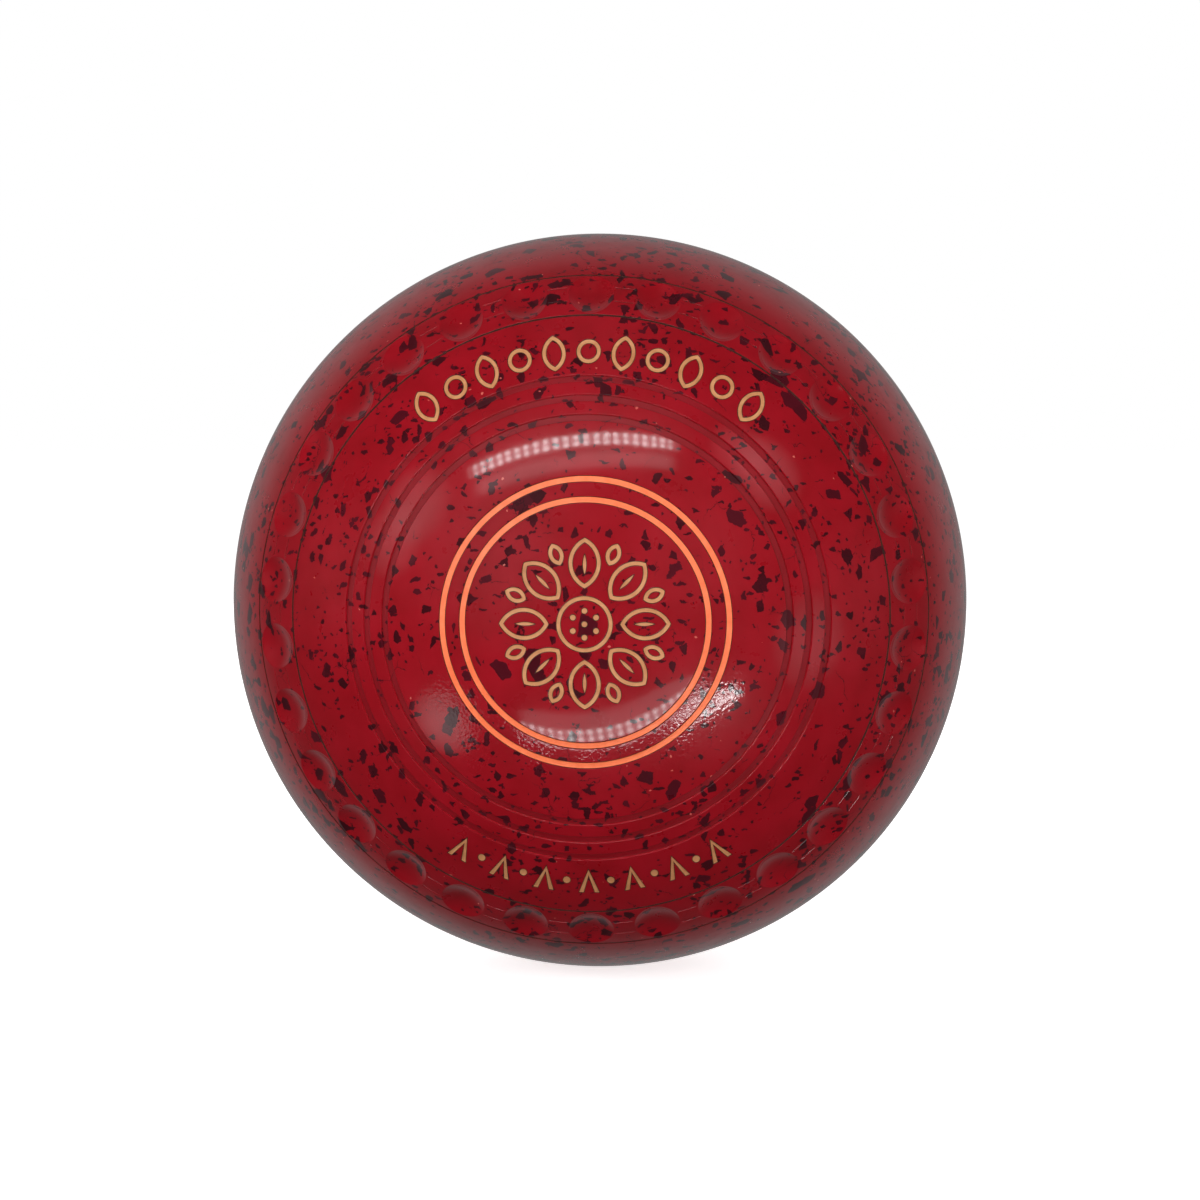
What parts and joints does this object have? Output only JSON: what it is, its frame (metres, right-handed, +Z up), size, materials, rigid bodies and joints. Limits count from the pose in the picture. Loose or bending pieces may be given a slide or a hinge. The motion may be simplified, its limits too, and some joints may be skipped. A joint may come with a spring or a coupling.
{
  "type": "lawn bowl",
  "caption": "Biased lawn bowl: a flattened ball of speckled resin with engraved, paint-filled faces, turned grooves and a band of finger grips round each side.",
  "frame": {"origin": "on the rolling axis, midway between the front face and the bias face; the running circle lies 0.9 mm towards the front face, and the ground under a bowl standing on its sole is 61 mm below", "axes": "+Y along the rolling axis from the front face (large rings) to the bias face (small rings), +Z up, +X to the right of the front face"},
  "size_m": [0.122, 0.113, 0.122],
  "materials": {
    "speckled_resin": "polished",
    "core_resin": "as moulded",
    "ring_paint": "satin",
    "line_paint": "satin"
  },
  "bodies": {
    "root": {"bowl_skin": "speckled_resin", "bowl_core": "core_resin", "front_outer_ring_paint": "ring_paint", "front_inner_ring_paint": "ring_paint", "front_petals_paint": "line_paint", "front_petal_veins_paint": "line_paint", "front_sepals_paint": "line_paint", "front_flower_eye_paint": "line_paint", "front_upper_border_paint": "line_paint", "front_lower_border_paint": "line_paint", "bias_outer_ring_paint": "ring_paint", "bias_inner_ring_paint": "ring_paint", "bias_petals_paint": "line_paint", "bias_flower_eye_paint": "line_paint", "bias_upper_border_paint": "line_paint", "bias_lower_border_paint": "line_paint"}
  },
  "joints": []
}
